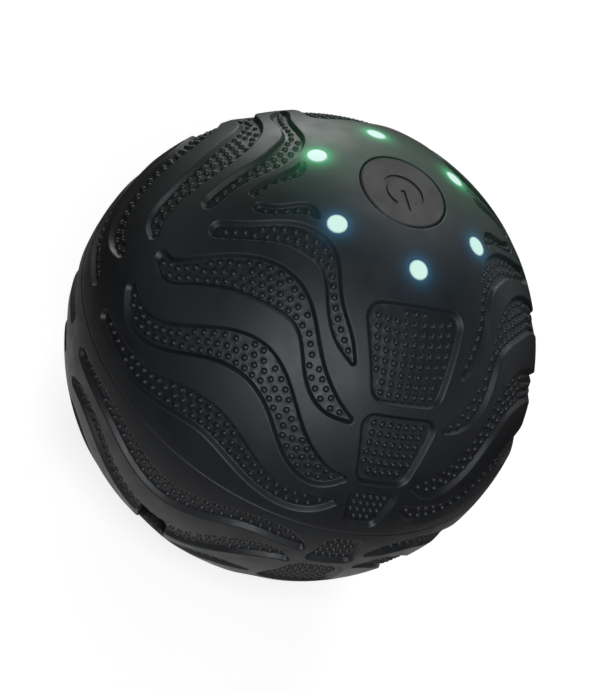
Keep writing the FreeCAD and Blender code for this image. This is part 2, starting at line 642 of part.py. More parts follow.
def build_motor():
    back = -MOTOR_END
    can = bar(MOTOR_R, (back, MOTOR_JOINT))
    rim = [e for e in can.Edges if len(e.Vertexes) == 1 and abs(e.Vertexes[0].X - back) < SAME]
    can = can.makeFillet(MOTOR_EDGE, rim).fuse(bar(MOTOR_NOSE_R, (back - MOTOR_NOSE_H, back)))
    can = can.cut([bar(MAGNET_R, (back + MOTOR_CAN_T, MOTOR_JOINT)),
                   bar(BUSHING_R, (back - MOTOR_NOSE_H, back + MOTOR_CAN_T))])
    save("motor_can", can)
    terminals = []
    for side in (-1, 1):
        terminals.append(block((MOTOR_JOINT, MOTOR_END + TERMINAL_OUT),
                               span(side * TERMINAL_Y, TERMINAL_T), span(MOTOR_Z, TERMINAL_W)))
    nose = bar(MOTOR_NOSE_R, (MOTOR_END, MOTOR_END + MOTOR_NOSE_H))
    cap = bar(MOTOR_R, (MOTOR_JOINT, MOTOR_END)).fuse(nose)
    hollow = bar(MAGNET_R - MAGNET_T, (MOTOR_JOINT, MOTOR_END - MOTOR_CAN_T))
    bore = bar(BUSHING_R, (MOTOR_JOINT, MOTOR_END + MOTOR_NOSE_H))
    save("motor_end_cap", cap.cut([hollow, bore] + terminals))
    save("motor_terminals", *terminals)
    seats = [(back - MOTOR_NOSE_H, back - MOTOR_NOSE_H + BUSHING_L),
             (MOTOR_END + MOTOR_NOSE_H - BUSHING_L, MOTOR_END + MOTOR_NOSE_H)]
    save("motor_bushings", *[tube(BUSHING_R, SHAFT_R + SHAFT_FIT, x) for x in seats])
    magnets = []
    start = back + MOTOR_CAN_T + MOTOR_EDGE
    for turn in (0, 180):
        sector = Part.makeCylinder(MAGNET_R, MAGNET_L, V(start, 0, MOTOR_Z), X_AXIS, MAGNET_ARC)
        sector = sector.cut(bar(MAGNET_R - MAGNET_T, (start, start + MAGNET_L)))
        sector.rotate(V(0, 0, MOTOR_Z), X_AXIS, turn - MAGNET_ARC / 2)
        magnets.append(sector)
    save("motor_magnets", *magnets)
    brushes = []
    inner = COMMUTATOR_R + BRUSH_GAP
    outer = TERMINAL_Y - TERMINAL_T / 2
    for side in (-1, 1):
        y = sorted((side * inner, side * (inner + BRUSH_W)))
        arm = sorted((side * inner, side * outer))
        middle = COMMUTATOR_END - COMMUTATOR_L / 2
        carbon = block(span(middle, BRUSH_L), y, span(MOTOR_Z, BRUSH_W))
        leaf_x = (middle + BRUSH_L / 2, middle + BRUSH_L / 2 + BRUSH_ARM_T)
        brushes.append(carbon.fuse(block(leaf_x, arm, span(MOTOR_Z, BRUSH_W))))
    save("motor_brushes", *brushes)


def build_rotor():
    end = MOTOR_END + SHAFT_OUT
    save("motor_shaft", bar(SHAFT_R, (-end, end)))
    core_start = -MOTOR_END + MOTOR_CAN_T + MOTOR_EDGE + (MAGNET_L - CORE_L) / 2
    core_x = (core_start, core_start + CORE_L)
    axis = V(0, 0, MOTOR_Z)
    poles, coils = [], []
    shoe_in = CORE_R - POLE_SHOE_T
    for i in range(POLE_COUNT):
        neck = block(core_x, span(0, POLE_W), (MOTOR_Z, MOTOR_Z + CORE_R - POLE_SHOE_T / 2))
        shoe = Part.makeCylinder(CORE_R, CORE_L, V(core_start, 0, MOTOR_Z), X_AXIS, POLE_ARC)
        shoe = shoe.cut(bar(shoe_in, core_x))
        shoe.rotate(axis, X_AXIS, -POLE_ARC / 2)
        coil = block((core_start - COIL_T, core_start + CORE_L + COIL_T),
                     span(0, POLE_W + 2 * COIL_T), (MOTOR_Z + CORE_HUB_R + COIL_GAP, MOTOR_Z + shoe_in))
        coil = coil.common(bar(shoe_in - COIL_GAP, (-end, end)))
        coil = coil.cut(block(core_x, span(0, POLE_W), (MOTOR_Z, MOTOR_Z + CORE_R)))
        for shape in (neck, shoe, coil):
            shape.rotate(axis, X_AXIS, i * 360 / POLE_COUNT)
        poles += [neck, shoe]
        coils.append(coil)
    core = bar(CORE_HUB_R, core_x).fuse(poles).removeSplitter()
    save("armature_core", core.cut(bar(SHAFT_R, core_x)))
    save("armature_windings", *coils)
    save("commutator", tube(COMMUTATOR_R, SHAFT_R, (COMMUTATOR_END - COMMUTATOR_L, COMMUTATOR_END)))
    weights = []
    for side in (-1, 1):
        x = sorted((side * (MOTOR_END + WEIGHT_GAP), side * (MOTOR_END + WEIGHT_GAP + WEIGHT_L)))
        sector = Part.makeCylinder(WEIGHT_R, WEIGHT_L, V(x[0], 0, MOTOR_Z), X_AXIS, WEIGHT_ARC)
        sector.rotate(axis, X_AXIS, 180 - WEIGHT_ARC / 2)
        weights.append(sector.fuse(bar(WEIGHT_HUB_R, x)).cut(bar(SHAFT_R, x)))
    save("eccentric_weights", *weights)


def charge_screw_shanks():
    start = -USB_H / 2 - CHARGE_BOARD_T - BRACKET_T
    shanks = []
    for side in (-1, 1):
        place = V(start, side * (CHARGE_BOARD_W / 2 - CHARGE_SCREW_EDGE),
                  BOARD_EDGE - CHARGE_BOARD_L + CHARGE_SCREW_EDGE)
        shank = Part.makeCylinder(CHARGE_SCREW_R, BRACKET_T + CHARGE_BOARD_T, place, X_AXIS)
        shanks.append(port_shape(shank))
    return shanks


def build_port():
    top = -USB_H / 2
    bracket = port_shape(block((top - CHARGE_BOARD_T - BRACKET_T, top - CHARGE_BOARD_T),
                               span(0, CHARGE_BOARD_W), (BOARD_EDGE - CHARGE_BOARD_L, PORT_FLOOR)))
    slot = port_shape(rounded_prism(USB_H + 2 * SEAT_GAP, USB_W + 2 * SEAT_GAP, USB_H / 2,
                                    PORT_BACK, PORT_FLOOR))
    insert = port_hollow(PORT_WALL, PORT_BACK).common(Part.makeSphere(SHELL_R)).fuse(bracket)
    save("port_insert", insert.cut([port_hollow(), slot] + charge_screw_shanks()))
    board = port_shape(block((top - CHARGE_BOARD_T, top), span(0, CHARGE_BOARD_W),
                             (BOARD_EDGE - CHARGE_BOARD_L, BOARD_EDGE)))
    shanks = charge_screw_shanks()
    save("charge_board", board.cut(shanks))
    screws = []
    for i, side in enumerate((-1, 1)):
        place = V(top, side * (CHARGE_BOARD_W / 2 - CHARGE_SCREW_EDGE),
                  BOARD_EDGE - CHARGE_BOARD_L + CHARGE_SCREW_EDGE)
        head = Part.makeCylinder(CHARGE_SCREW_HEAD_R, CHARGE_SCREW_HEAD_H, place, X_AXIS)
        screws.append(port_shape(head).fuse(shanks[i]))
    save("charge_screws", *screws)
    low = PORT_FLOOR - USB_L
    shell = rounded_prism(USB_H, USB_W, USB_CORNER, low, PORT_FLOOR)
    hollow = rounded_prism(USB_H - 2 * USB_WALL, USB_W - 2 * USB_WALL, USB_CORNER - USB_WALL,
                           low, PORT_FLOOR)
    save("usb_shell", port_shape(shell.cut(hollow)))
    back = rounded_prism(USB_H - 2 * USB_WALL, USB_W - 2 * USB_WALL, USB_CORNER - USB_WALL,
                         low, low + USB_BACK_T)
    tongue = block(span(0, USB_TONGUE_T), span(0, USB_TONGUE_W), (low, PORT_FLOOR - USB_TONGUE_INSET))
    save("usb_tongue", port_shape(back.fuse(tongue)))
    middle = BOARD_EDGE - CHARGE_BOARD_L / 2 - CHARGE_CHIP_W / 2
    chip = block((top, top + CHARGE_CHIP_H), span(-CHARGE_PARTS_Y, CHARGE_CHIP_W),
                 span(middle, CHARGE_CHIP_W))
    coil = block((top, top + CHARGE_COIL_H), span(CHARGE_PARTS_Y, CHARGE_COIL_W),
                 span(middle, CHARGE_COIL_W))
    save("charge_parts", port_shape(chip), port_shape(coil))


os.makedirs("parts", exist_ok=True)
build_skins()
build_upper_shell()
build_lower_shell()
build_seam()
build_button()
build_lights()
build_board()
build_cell()
build_chassis()
build_motor()
build_rotor()
build_port()
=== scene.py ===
import math
import bmesh
import bpy
import numpy as np
from mathutils import Matrix, Vector
from mathutils.geometry import delaunay_2d_cdt


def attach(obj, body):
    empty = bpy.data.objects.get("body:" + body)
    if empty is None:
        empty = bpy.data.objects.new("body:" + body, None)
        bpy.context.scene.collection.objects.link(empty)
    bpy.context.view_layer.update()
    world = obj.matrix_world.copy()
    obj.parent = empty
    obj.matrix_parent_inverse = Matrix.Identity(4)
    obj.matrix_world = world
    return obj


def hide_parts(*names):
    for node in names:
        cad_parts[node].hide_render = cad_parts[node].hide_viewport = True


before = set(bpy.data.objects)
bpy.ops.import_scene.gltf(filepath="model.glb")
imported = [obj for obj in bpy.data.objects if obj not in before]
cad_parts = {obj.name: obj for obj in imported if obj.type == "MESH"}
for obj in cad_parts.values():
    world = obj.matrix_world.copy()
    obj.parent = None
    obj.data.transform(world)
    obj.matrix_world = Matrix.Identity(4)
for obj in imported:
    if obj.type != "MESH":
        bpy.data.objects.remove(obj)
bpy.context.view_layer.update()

# Dress of the vibrating massage ball. The skins, the sign and the contacts are laid out in
# millimetres and scaled to the scene's metres, and the tread in degrees seen from the ball's
# centre. +Z runs through the button and -Y is the charging side.

# ---- sizes that the looks share with the solids, in millimetres and degrees ----
MM = 0.001
BALL_R = 47.5
SHELL_R = 44.5
PAD_AZIMUTH = -45.0
BUTTON_R = 9.0
BUTTON_HOLE_R = 9.3
LIGHT_COUNT = 6
LIGHT_TILT = 22.0
LIGHT_R = 2.0
PORT_TILT = 37.0
PORT_W = 6.9
PORT_H = 12.8
PORT_CORNER = 2.2

# ---- sign on the button, and the receptacle's contacts, in millimetres ----
SIGN_OUTER = 4.4
SIGN_INNER = 3.4
SIGN_LINE = 1.05
SIGN_BAR = (-0.4, 4.9)
SIGN_GAP = 33.0
SIGN_DEPTH = 0.3
SIGN_CLEAR = 1.0
SIGN_POINTS = 61
CONTACT_COUNT = 12
CONTACT_PITCH = 0.5
CONTACT_W = 0.24
CONTACT_L = 4.2
CONTACT_T = 0.05
CONTACT_BACK = 0.4
CONTACT_BEVEL = 0.015
TONGUE_T = 0.7
TONGUE_END = BALL_R - 8.0
# The button's mesh: points merged within so many metres, faces within so many degrees joined,
# and edges sharper than so many degrees left sharp
CAP_MERGE = 1e-6
CAP_FLAT = 1.0
CAP_SHARP = 30.0

# ---- colours: linear red, green, blue ----
SILICONE = (0.0064, 0.0069, 0.0078)
SHEEN_TINT = (0.94, 0.96, 1.0)
BUTTON_COLOR = (0.014, 0.0145, 0.0155)
ROOM_COLOR = (0.92, 0.96, 1.0)
# Light guide: its viewport colour, its body, its light, and that light's level where the sum of
# the glows has the values of LIT_SPAN, from the rim of a tip inwards
LIT_TINT = (0.75, 0.8, 0.78)
LIT_BODY = (0.1, 0.12, 0.11)
LIT_COLOR = (0.75, 1.1, 1.0)
LIT_SPAN = (1.0, 1.5)
LIT_LEVELS = (0.3, 0.72)
LIT_GRAIN = (0.93, 1.0)
# Painted glow on the silicone: emission round the lights that stands in for their light spilling into
# the skin and tinting the top. It fades by e over GLOW_FADE metres, and its painted haze HAZE_SLOWER
# times as fast
BLUE_PAINTED_GLOW = (0.012, 0.075, 0.14)
GREEN_PAINTED_GLOW = (0.035, 0.38, 0.14)
GLOW_FADE = 0.001
HAZE_SLOWER = 0.16
BLUE_HAZE = 0.07
GREEN_PAINTED_HAZE = 0.10
BLUE_LIGHTS = (0, 1, 5)
GREEN_LIGHTS = (2, 3, 4)

# ---- finishes: scales of the noises, and how far colour and gloss stray ----
NOISE_MIDDLE = (0.3, 0.7)
SHADE_STOPS = (0.35, 0.65)
DRIFT_SCALE = 60.0
GLOSS_SCALE = 220.0
GLOSS_PLAY = 0.06
GRAIN_STRENGTH = 0.35
LINE_SCALE = 1200.0
LINE_GLOSS = (0.7, 1.35)
LINE_STRENGTH = 0.2
LINE_DEPTH = 0.00001
TARNISH_SCALE = 150.0
TARNISH = 0.85

# ---- camera, fitted to the photograph's view ----
CAM_AZIMUTH = 8.0
CAM_ELEVATION = 40.23
CAM_ROLL = 33.86
CAM_DISTANCE = 0.63175
CAM_LENS = 163.0
CAM_SENSOR = 36
CAM_NEAR = 0.01
CAM_FAR = 20

# ---- studio ----
# Lamps: metres to the camera's right, up and toward the camera, diameter and power
LAMPS = {
    "key": (0.05, -0.10, 0.66, 0.55, 5.0),
    "high_right": (0.40, 0.64, -0.02, 0.5, 2.5),
    "back": (0.0, 0.72, -0.42, 0.4, 2.2),
}
# The room's light, and how high the white band at its horizon reaches in mirrors
ROOM_LEVEL = 0.06
HORIZON_TOP = 0.35
# The paper: its tone and own light to the camera, and the share of light that it returns to the
# ball. In mirrors it fades from NEAR to EDGE, metres from the ball's foot, and the camera sees
# its own light rise to a full white from EDGE to WHITE.
PAPER_TONE = 0.42
PAPER_LEVEL = 0.70
PAPER_BOUNCE = 0.06
PAPER_NEAR = 0.055
PAPER_EDGE = 0.11
PAPER_WHITE = 0.60
PAPER_ROUGH = 0.95
PAPER_SPECULAR = 0.1
FLOOR_HALF = 3.0
FLOOR_CELLS = 8
FLOOR_GAP = 0.0002

# ---- tread: (angle from the pads, latitude, half-width) ----
CHANNELS = {
    "crest": [(70.2, 65.1, 0.7), (75.2, 64.5, 1.4), (79.3, 61.6, 1.4), (82.2, 57.3, 1.15),
              (85.8, 54.0, 1.2)],
    "high": [(20.3, 42.7, 0.45), (25, 46.0, 1.7), (34, 52.2, 1.65), (43, 58.2, 1.75), (51, 60.5, 2.6),
             (60, 60.2, 3.1), (68, 58.0, 2.8), (76.5, 51.3, 2.1), (84, 43.4, 1.9)],
    "upper": [(14.8, 30.0, 0.5), (21, 31.6, 2.0), (30, 37.6, 2.2), (40, 45.4, 2.25), (48, 47.4, 3.7),
              (58, 46.5, 4.5), (68, 41.8, 3.9), (77, 32.7, 2.9), (81.5, 28.7, 2.4), (85.6, 28.1, 1.4)],
    "middle": [(10.0, 15.7, 0.6), (14.5, 14.8, 2.4), (21, 16.9, 3.2), (33, 26.6, 3.2), (45, 31.3, 4.2),
               (57, 27.3, 3.4), (69, 18.4, 2.95), (77, 15.9, 2.5), (83.8, 17.5, 1.3)],
    "lower": [(9.1, 8.7, 0.6), (13, 7.0, 2.0), (23, 6.1, 2.3), (35, 10.3, 2.9), (45, 13.1, 3.5),
              (55, 11.2, 3.3), (65, 7.9, 2.6), (75, 6.8, 2.0), (83.9, 6.8, 1.4)],
}
# (lower latitude, upper latitude, lower half-width, upper half-width, corner radius,
#  latitude of the first row of dots, row step, column step and its growth with each row,
#  dots in each row from the lowest)
PADS = {
    "top": (36.5, 59.3, 8.6, 13.2, 3.4, 38.1, 2.43, 2.27, 0.027, (7, 7, 9, 9, 9, 9, 9, 9, 3)),
    "mid": (16.2, 33.0, 6.3, 9.9, 2.6, 18.7, 2.42, 1.95, 0.042, (5, 7, 7, 7, 7, 7)),
    "low": (3.2, 13.0, 3.9, 6.2, 1.4, 5.0, 2.1, 1.76, 0.03, (3, 5, 5, 5)),
}
# Section of a pocket's edge: (millimetres outside the wall, depth)
EDGE = [(0.80, 0.0), (0.66, 0.0), (0.54, 0.02), (0.44, 0.08), (0.34, 0.19), (0.19, 0.41),
        (0.03, 0.64), (-0.12, 0.86), (-0.19, 0.96), (-0.26, 1.0)]
# Share of that edge's width, for channels where a rib or the channel is too thin for all of it
LEAD = {"crest": 0.5, "high": 0.85}
# Dots in the channels, in degrees: wall to first row, row step and its upper limit, pitch along
# the channel, then the distance that they are pushed apart to, in how many steps, and the share
# of the lack that each step makes good
DOT_MARGIN = 1.17
DOT_ROW = 1.95
DOT_ROW_MOST = 2.35
DOT_PITCH = 2.55
DOT_APART = 2.45
DOT_STEPS = 40
DOT_PUSH = 0.3
# Section of a dot: (share of its radius, height)
DOT_R = 0.64
DOT = [(1.06, 0.0), (0.99, 0.015), (0.93, 0.11), (0.82, 0.27), (0.60, 0.41), (0.32, 0.48)]
DOT_TOP = 0.50
DOT_SIDES = 14
# Degrees: the furthest that a dot is nudged off a wall, and its least gap to a wall and a dot
DOT_NUDGE = 0.6
DOT_WALL_GAP = 0.02
DOT_GAP = 0.1
# Section of the edge round a hole: (widths outside the wall, depth), and that width
HOLE_EDGE = [(2, 0), (1, 0), (0.3, 0.06), (0, 0.2)]
HOLE_EDGE_W = 0.18
BUTTON_HOLE_SIDES = 96
LIGHT_HOLE_SIDES = 32
# Section of the skin's edge at the seam: (height, depth)
SEAM_EDGE = [(0.5, 0.0), (0.3, 0.0), (0.17, 0.03), (0.06, 0.12), (0.0, 0.3)]
SEAM_SIDES = 360
# Section of the port's mouth: (depth, millimetres outside the wall)
PORT_EDGE = [(-2.0, 0.42), (0.0, 0.42), (0.06, 0.2), (0.2, 0.05), (0.42, 0.0), (5.0, 0.0)]
PORT_CORNER_POINTS = 7
# Fineness of the tread, with steps in degrees
SPINE_STEP = 0.85
SPINE_CAP_STEPS = 8
PAD_SIDE_STEP = 0.9
PAD_CORNER_POINTS = 11
# Points between the rings: step, rise from row to row as a share of it, and least gap to a ring
FILL_STEP = 1.9
POCKET_FILL_STEP = 1.5
FILL_RISE = 0.866
FILL_CLEAR = 0.5
FILL_CHUNK = 400
FILL_MERGE = 1e-7
TINY = 1e-9
DEG_PER_MM = math.degrees(1 / BALL_R)


def unit(azimuth, latitude):
    """Directions at so many degrees round and up."""
    azimuth, latitude = np.radians(azimuth), np.radians(latitude)
    level = np.cos(latitude)
    return np.stack([level * np.cos(azimuth), level * np.sin(azimuth), np.sin(latitude)], -1)


def normed(v):
    """The vectors at length 1."""
    return v / np.linalg.norm(v, axis=-1, keepdims=True)


def light_spots():
    """Directions of the lights, the first at the middle of a pad."""
    step = 360 / LIGHT_COUNT
    return [unit(PAD_AZIMUTH + step * i, 90 - LIGHT_TILT) for i in range(LIGHT_COUNT)]


def spline(knots, values, at):
    """Natural cubic spline through the values."""
    knots, values = np.asarray(knots, float), np.asarray(values, float)
    n = len(knots)
    flat = values.reshape(n, -1)
    step = np.diff(knots)
    m = np.eye(n)
    rhs = np.zeros_like(flat)
    for i in range(1, n - 1):
        m[i, i - 1:i + 2] = step[i - 1], 2 * (step[i - 1] + step[i]), step[i]
        rhs[i] = 6 * ((flat[i + 1] - flat[i]) / step[i] - (flat[i] - flat[i - 1]) / step[i - 1])
    bend = np.linalg.solve(m, rhs)
    k = np.clip(np.searchsorted(knots, at, side="right") - 1, 0, n - 2)
    h = step[k][:, None]
    a = (knots[k + 1] - at)[:, None] / h
    b = 1 - a
    out = a * flat[k] + b * flat[k + 1]
    out += ((a ** 3 - a) * bend[k] + (b ** 3 - b) * bend[k + 1]) * h * h / 6
    return out.reshape((len(at),) + values.shape[1:])


class Channel:
    """One channel of the tread in one sector: its spine, half-width and directions. lead is the
    share of the edge's full width."""

    def __init__(self, stations, lead=1.0):
        self.lead = lead
        spots = unit(*np.array(stations, float).T[:2])
        knots = np.concatenate([[0], np.cumsum(np.linalg.norm(np.diff(spots, axis=0), axis=1))])
        count = int(math.degrees(knots[-1]) / SPINE_STEP)
        at = np.linspace(0, knots[-1], count)
        self.spine = normed(spline(knots, spots, at))
        self.half = spline(knots, [s[2] for s in stations], at)
        way = np.gradient(self.spine, axis=0)
        way -= (way * self.spine).sum(1)[:, None] * self.spine
        self.way = normed(way)
        self.side = np.cross(self.spine, self.way)

    def loop(self, grow):
        """Closed ring of directions, the half-width grown by so many degrees."""
        w = np.radians(self.half + grow)[:, None]
        left = self.spine * np.cos(w) + self.side * np.sin(w)
        right = self.spine * np.cos(w) - self.side * np.sin(w)
        turn = np.linspace(0, math.pi, SPINE_CAP_STEPS + 1)[1:-1][:, None]
        caps = []
        for end, sign in ((-1, 1), (0, -1)):
            p, s, t = self.spine[end], sign * self.side[end], sign * self.way[end]
            caps.append(p * np.cos(w[end]) + np.sin(w[end]) * (s * np.cos(turn) + t * np.sin(turn)))
        return np.concatenate([left, caps[0], right[::-1], caps[1]])

    def dots(self):
        """Staggered rows of dots along the channel, more of them where it is wide."""
        arc = np.concatenate([[0], np.cumsum(np.linalg.norm(np.diff(self.spine, axis=0), axis=1))])
        arc = np.degrees(arc)
        found = []
        count = int(2 * arc[-1] / DOT_PITCH)
        start = (arc[-1] - count * DOT_PITCH / 2) / 2
        for i in range(count + 1):
            s = start + i * DOT_PITCH / 2
            room = 2 * np.interp(s, arc, self.half) - 2 * DOT_MARGIN
            rows = 1 + int(max(room, 0) / DOT_ROW)
            gap = min(room / (rows - 1), DOT_ROW_MOST) if rows > 1 else 0
            p, n = (normed(np.array([np.interp(s, arc, v[:, k]) for k in range(3)]))
                    for v in (self.spine, self.side))
            for row in range(rows):
                if row % 2 == i % 2:
                    shift = math.radians((row - (rows - 1) / 2) * gap)
                    found.append(p * math.cos(shift) + n * math.sin(shift))
        return self.evened(np.array(found))

    def evened(self, dots):
        """The dots, pushed apart a little at a time within the channel until they lie evenly."""
        reach = math.radians(DOT_APART)
        room = np.radians(np.maximum(self.half - DOT_MARGIN, 0))
        last = len(self.spine) - 1
        for _ in range(DOT_STEPS):
            gap = dots[:, None] - dots[None]
            far = np.linalg.norm(gap, axis=2) + np.eye(len(dots))
            push = np.clip(reach - far, 0, None) / far
            dots = normed(dots + DOT_PUSH * (gap * push[:, :, None]).sum(1))
            near = (dots @ self.spine.T).argmax(1)
            off = dots - self.spine[near]
            along = (off * self.way[near]).sum(1) * ((near > 0) & (near < last))
            off -= along[:, None] * self.way[near]
            across = np.linalg.norm(off, axis=1)
            excess = np.clip(across - room[near], 0, None) / np.maximum(across, TINY)
            dots = normed(dots - off * excess[:, None])
        return list(dots)


class Pad:
    """Rounded trapezoid across the pads' meridian, with rows of dots along the parallels."""

    def __init__(self, low, high, low_half, high_half, corner, *grid):
        self.lead = 1.0
        middle = (low + high) / 2
        self.normal, self.east = unit(0, middle), np.array([0.0, 1.0, 0.0])
        self.north = np.cross(self.normal, self.east)
        self.corners = np.array([(-low_half, low - middle), (low_half, low - middle),
                                 (high_half, high - middle), (-high_half, high - middle)])
        self.corner = corner
        self.grid = grid

    def place(self, xy):
        """Directions of points given in degrees about the pad's middle."""
        xy = np.tan(np.radians(np.atleast_2d(xy)))
        return normed(self.normal + xy[:, :1] * self.east + xy[:, 1:] * self.north)

    def plane_loop(self, grow):
        """The trapezoid's outline with its rounded corners, grown by so many degrees."""
        points, c = [], self.corners
        for i in range(4):
            back = c[i - 1] - c[i]
            ahead = c[(i + 1) % 4] - c[i]
            back, ahead = back / np.linalg.norm(back), ahead / np.linalg.norm(ahead)
            half = math.acos(np.clip(back @ ahead, -1, 1)) / 2
            middle = (back + ahead) / np.linalg.norm(back + ahead)
            centre = c[i] + middle * self.corner / math.sin(half)
            sweep = math.pi / 2 - half
            start = math.atan2(-middle[1], -middle[0])
            for k in np.linspace(-sweep, sweep, PAD_CORNER_POINTS):
                points.append(centre + (self.corner + grow) * np.array(
                    [math.cos(start + k), math.sin(start + k)]))
        return np.array(points)

    def loop(self, grow):
        """Closed ring of directions, with points along the straight sides too."""
        ring = self.plane_loop(grow)
        fine = []
        for a, b in zip(ring, np.roll(ring, -1, axis=0)):
            length = float(np.linalg.norm(b - a))
            straight = length > self.corner / 2
            steps = max(1, round(length / PAD_SIDE_STEP)) if straight else 1
            fine += [a + (b - a) * k / steps for k in range(steps)]
        return self.place(np.array(fine))

    def dots(self):
        """Rows of dots along the parallels, from the lowest."""
        first, row_step, column_step, growth, counts = self.grid
        found = []
        for row, count in enumerate(counts):
            lat = first + row * row_step
            step = (column_step + growth * row) / math.cos(math.radians(lat))
            found += [unit((k - (count - 1) / 2) * step, lat) for k in range(count)]
        return found


def turned(v, azimuth, mirror=False):
    """The directions, mirrored about the pads' middle if asked, then turned about the axis."""
    v = np.array(v, float)
    if mirror:
        v = v * np.array([1, -1, 1])
    c, s = math.cos(math.radians(azimuth)), math.sin(math.radians(azimuth))
    return v @ np.array([[c, s, 0], [-s, c, 0], [0, 0, 1]])


def chart(v):
    """Flat map of the half ball about its pole: distance from the pole in degrees."""
    v = np.atleast_2d(v)
    away = np.degrees(np.arctan2(np.hypot(v[:, 0], v[:, 1]), v[:, 2]))
    angle = np.arctan2(v[:, 1], v[:, 0])
    return np.stack([away * np.cos(angle), away * np.sin(angle)], 1)


def unchart(xy):
    """Directions of points on that map."""
    away, angle = np.hypot(xy[:, 0], xy[:, 1]), np.arctan2(xy[:, 1], xy[:, 0])
    return unit(np.degrees(angle), 90 - away)


def even_points(rim, low, high, step):
    """Staggered points of the map from low to high, but for those near a point of the rim."""
    xs = np.arange(low[0], high[0], step)
    ys = np.arange(low[1], high[1], step * FILL_RISE)
    grid = np.array([(x + step / 2 * (k % 2), y) for k, y in enumerate(ys) for x in xs])
    clear = np.ones(len(grid), bool)
    for start in range(0, len(rim), FILL_CHUNK):
        part = rim[start:start + FILL_CHUNK]
        gap = np.hypot(grid[:, None, 0] - part[None, :, 0], grid[:, None, 1] - part[None, :, 1])
        clear &= gap.min(1) > step * FILL_CLEAR
    return grid[clear]


class Builder:
    """Collects points and faces of one skin."""

    def __init__(self):
        self.points, self.faces, self.count = [], [], 0

    def add(self, points):
        """Takes points in and returns their numbers."""
        self.points.append(np.asarray(points))
        self.count += len(points)
        return list(range(self.count - len(points), self.count))

    def strip(self, a, b):
        """Closed strip of faces between two rings of as many points."""
        n = len(a)
        for i in range(n):
            j = (i + 1) % n
            self.faces.append((a[i], a[j], b[j], b[i]))

    def strips(self, rings):
        """Strips between each ring and the next."""
        for a, b in zip(rings, rings[1:]):
            self.strip(a, b)

    def fill(self, outer, holes, radius, step):
        """Triangles between an outer ring and its holes, with even points between them."""
        every = np.concatenate(self.points)
        rings = [outer] + holes
        flat = [chart(every[ring]) for ring in rings]
        rim = np.concatenate(flat)
        grid = even_points(rim, flat[0].min(0), flat[0].max(0), step)
        points = [Vector(p) for p in np.concatenate([rim, grid]).tolist()]
        sizes = np.cumsum([0] + [len(ring) for ring in rings])
        faces = []
        for i, ring in enumerate(flat):
            x, y = ring[:, 0], ring[:, 1]
            turn = (x * np.roll(y, -1) - y * np.roll(x, -1)).sum()
            ids = list(range(sizes[i], sizes[i + 1]))
            faces.append(ids if turn > 0 else ids[::-1])
        _, _, made, sources, _, owners = delaunay_2d_cdt(points, [], faces, 0, FILL_MERGE)
        numbers = [i for ring in rings for i in ring] + self.add(unchart(grid) * radius)
        origin = [numbers[source[0]] if source else None for source in sources]
        # A face within the outer ring alone lies in no hole
        for face, owner in zip(made, owners):
            if owner == [0]:
                self.faces.append(tuple(origin[i] for i in face))


def ring_points(centre, radius, sides, ball_r):
    """Ring of points about a direction, at so many degrees from it."""
    # An axis that is well off the direction itself
    axis = np.array([0.0, 0.0, 1.0]) if abs(centre[2]) < 0.9 else np.array([1.0, 0.0, 0.0])
    u = normed(np.cross(axis, centre))
    v = np.cross(centre, u)
    turn = np.linspace(0, 2 * math.pi, sides, endpoint=False)[:, None]
    r = math.radians(radius)
    return (centre * math.cos(r) + (u * np.cos(turn) + v * np.sin(turn)) * math.sin(r)) * ball_r


def clear_of(wall, centre, least):
    """The dot's centre, nudged off a wall that is too near, or None where there is no room."""
    for _ in range(2):
        near = wall[(wall @ centre).argmax()]
        lack = least - math.degrees(math.acos(min(1.0, float(near @ centre))))
        if lack <= 0:
            return centre
        if lack > DOT_NUDGE:
            return None
        away = normed(centre - near) * math.radians(lack + DOT_WALL_GAP / 2)
        centre = normed(centre + away)
    nearest = math.cos(math.radians(least - DOT_WALL_GAP))
    return centre if (wall @ centre).max() < nearest else None


def add_dot(b, centre, floor_r):
    """One dot on a pocket's floor. Returns the ring at its foot."""
    rings = [b.add(ring_points(centre, DOT_R * share * DEG_PER_MM, DOT_SIDES, floor_r + lift))
             for share, lift in DOT]
    b.strips(rings)
    top = b.add([centre * (floor_r + DOT_TOP)])[0]
    last = rings[-1]
    for i in range(DOT_SIDES):
        b.faces.append((last[i], last[(i + 1) % DOT_SIDES], top))
    return rings[0]


def add_pocket(b, shape, azimuth, mirror):
    """One pocket with its edge, floor and dots. Returns the ring at the skin's surface."""
    rings = []
    for outside, depth in EDGE:
        ring = turned(shape.loop(outside * shape.lead * DEG_PER_MM), azimuth, mirror)
        if mirror:
            ring = ring[::-1]
        rings.append(b.add(ring * (BALL_R - depth)))
    b.strips(rings)
    floor_r = BALL_R - EDGE[-1][1]
    wall = np.stack([ring, np.roll(ring, -1, axis=0)], 1)
    wall = normed(np.concatenate([wall[:, 0], wall.mean(1)]))
    foot = DOT[0][0] * DOT_R * DEG_PER_MM
    too_near = math.cos(math.radians(2 * foot + DOT_GAP))
    holes, placed = [], []
    for centre in shape.dots():
        centre = clear_of(wall, turned(centre, azimuth, mirror), foot + DOT_WALL_GAP)
        if centre is None or any(centre @ other > too_near for other in placed):
            continue
        placed.append(centre)
        holes.append(add_dot(b, centre, floor_r))
    b.fill(rings[-1], holes, floor_r, POCKET_FILL_STEP)
    return rings[0]


def add_hole(b, centre, radius, sides):
    """Round hole through the skin. Returns its rings at the outer and inner surface."""
    angle = math.degrees(math.asin(radius / BALL_R))
    width = HOLE_EDGE_W * DEG_PER_MM
    rings = [b.add(ring_points(centre, angle + widths * width, sides, BALL_R - depth))
             for widths, depth in HOLE_EDGE]
    inner = math.degrees(math.asin(radius / SHELL_R))
    rings.append(b.add(ring_points(centre, inner, sides, SHELL_R)))
    b.strips(rings)
    return rings[0], rings[-1]


